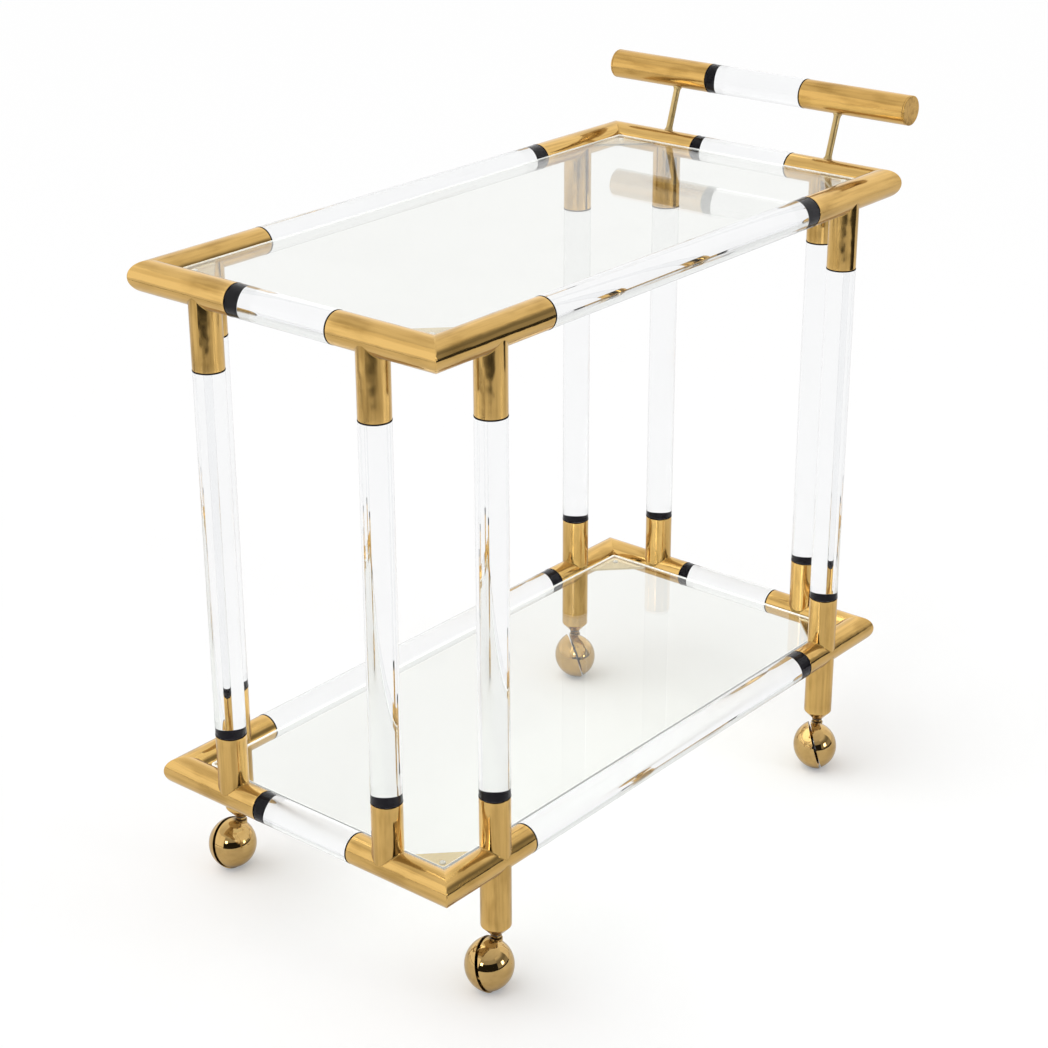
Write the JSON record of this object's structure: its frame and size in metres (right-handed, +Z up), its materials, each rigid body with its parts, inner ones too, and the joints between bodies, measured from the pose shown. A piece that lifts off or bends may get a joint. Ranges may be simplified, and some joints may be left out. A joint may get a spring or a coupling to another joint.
{
  "type": "bar cart",
  "caption": "Two-tier rolling bar cart with mitred brass tube corners, clear rods and posts, glass shelves, a push bar and swivelling ball casters.",
  "frame": {"origin": "on the floor under the middle of the cart's box", "axes": "+X along the cart towards the handle end, +Z up"},
  "size_m": [0.8508, 0.4527, 0.8371],
  "materials": {
    "brass": "satin, lightly brushed tube",
    "polished_brass": "polished",
    "clear_acrylic": "clear, polished",
    "shelf_glass": "clear, polished edges",
    "black_plug": "satin black",
    "steel": "turned",
    "nylon": "plain",
    "clear_pad": "soft clear pad"
  },
  "bodies": {
    "cart": {"upper_corner_front_left": "brass", "upper_corner_front_right": "brass", "upper_corner_rear_left": "brass", "upper_corner_rear_right": "brass", "upper_front_rod": "clear_acrylic", "upper_rear_rod": "clear_acrylic", "upper_left_rod": "clear_acrylic", "upper_right_rod": "clear_acrylic", "upper_rod_plugs": "black_plug", "upper_gusset_plates": "brass", "upper_shelf_pads": "clear_pad", "upper_glass_shelf": "shelf_glass", "lower_corner_front_left": "brass", "lower_corner_front_right": "brass", "lower_corner_rear_left": "brass", "lower_corner_rear_right": "brass", "lower_front_rod": "clear_acrylic", "lower_rear_rod": "clear_acrylic", "lower_left_rod": "clear_acrylic", "lower_right_rod": "clear_acrylic", "lower_rod_plugs": "black_plug", "lower_gusset_plates": "brass", "lower_shelf_pads": "clear_pad", "lower_glass_shelf": "shelf_glass", "front_left_side_post": "clear_acrylic", "front_left_end_post": "clear_acrylic", "front_right_side_post": "clear_acrylic", "front_right_end_post": "clear_acrylic", "rear_left_side_post": "clear_acrylic", "rear_left_end_post": "clear_acrylic", "rear_right_side_post": "clear_acrylic", "rear_right_end_post": "clear_acrylic", "post_plugs": "black_plug", "handle_stem_left": "brass", "handle_tube_left": "brass", "handle_stem_right": "brass", "handle_tube_right": "brass", "handle_end_caps": "brass", "handle_rod": "clear_acrylic", "handle_plugs": "black_plug", "caster_sleeves": "steel", "caster_washers": "nylon"},
    "caster_front_left_swivel": {"caster_front_left_stem": "polished_brass", "caster_front_left_hood": "polished_brass", "caster_front_left_axle": "steel"},
    "caster_front_left_roller": {"caster_front_left_wheel": "polished_brass"},
    "caster_front_right_swivel": {"caster_front_right_stem": "polished_brass", "caster_front_right_hood": "polished_brass", "caster_front_right_axle": "steel"},
    "caster_front_right_roller": {"caster_front_right_wheel": "polished_brass"},
    "caster_rear_left_swivel": {"caster_rear_left_stem": "polished_brass", "caster_rear_left_hood": "polished_brass", "caster_rear_left_axle": "steel"},
    "caster_rear_left_roller": {"caster_rear_left_wheel": "polished_brass"},
    "caster_rear_right_swivel": {"caster_rear_right_stem": "polished_brass", "caster_rear_right_hood": "polished_brass", "caster_rear_right_axle": "steel"},
    "caster_rear_right_roller": {"caster_rear_right_wheel": "polished_brass"}
  },
  "joints": [
    {"name": "front_left_swivel", "type": "hinge", "parent": "cart", "child": "caster_front_left_swivel", "pos_m": [-0.32825, -0.19525, 0.0619], "axis": [0, 0, 1], "continuous": true},
    {"name": "front_left_roll", "type": "hinge", "parent": "caster_front_left_swivel", "child": "caster_front_left_roller", "pos_m": [-0.3413, -0.19691, 0.0299], "axis": [-0.265, 0.924, -0.2756], "continuous": true},
    {"name": "front_right_swivel", "type": "hinge", "parent": "cart", "child": "caster_front_right_swivel", "pos_m": [-0.32825, 0.19525, 0.0619], "axis": [0, 0, 1], "continuous": true},
    {"name": "front_right_roll", "type": "hinge", "parent": "caster_front_right_swivel", "child": "caster_front_right_roller", "pos_m": [-0.34128, 0.19702, 0.0299], "axis": [-0.0168, 0.9611, -0.2756], "continuous": true},
    {"name": "rear_left_swivel", "type": "hinge", "parent": "cart", "child": "caster_rear_left_swivel", "pos_m": [0.30075, -0.19525, 0.0619], "axis": [0, 0, 1], "continuous": true},
    {"name": "rear_left_roll", "type": "hinge", "parent": "caster_rear_left_swivel", "child": "caster_rear_left_roller", "pos_m": [0.28906, -0.20127, 0.0299], "axis": [-0.565, 0.7777, -0.2756], "continuous": true},
    {"name": "rear_right_swivel", "type": "hinge", "parent": "cart", "child": "caster_rear_right_swivel", "pos_m": [0.30075, 0.19525, 0.0619], "axis": [0, 0, 1], "continuous": true},
    {"name": "rear_right_roll", "type": "hinge", "parent": "caster_rear_right_swivel", "child": "caster_rear_right_roller", "pos_m": [0.29086, 0.18658, 0.0299], "axis": [-0.7364, 0.6179, -0.2756], "continuous": true}
  ]
}
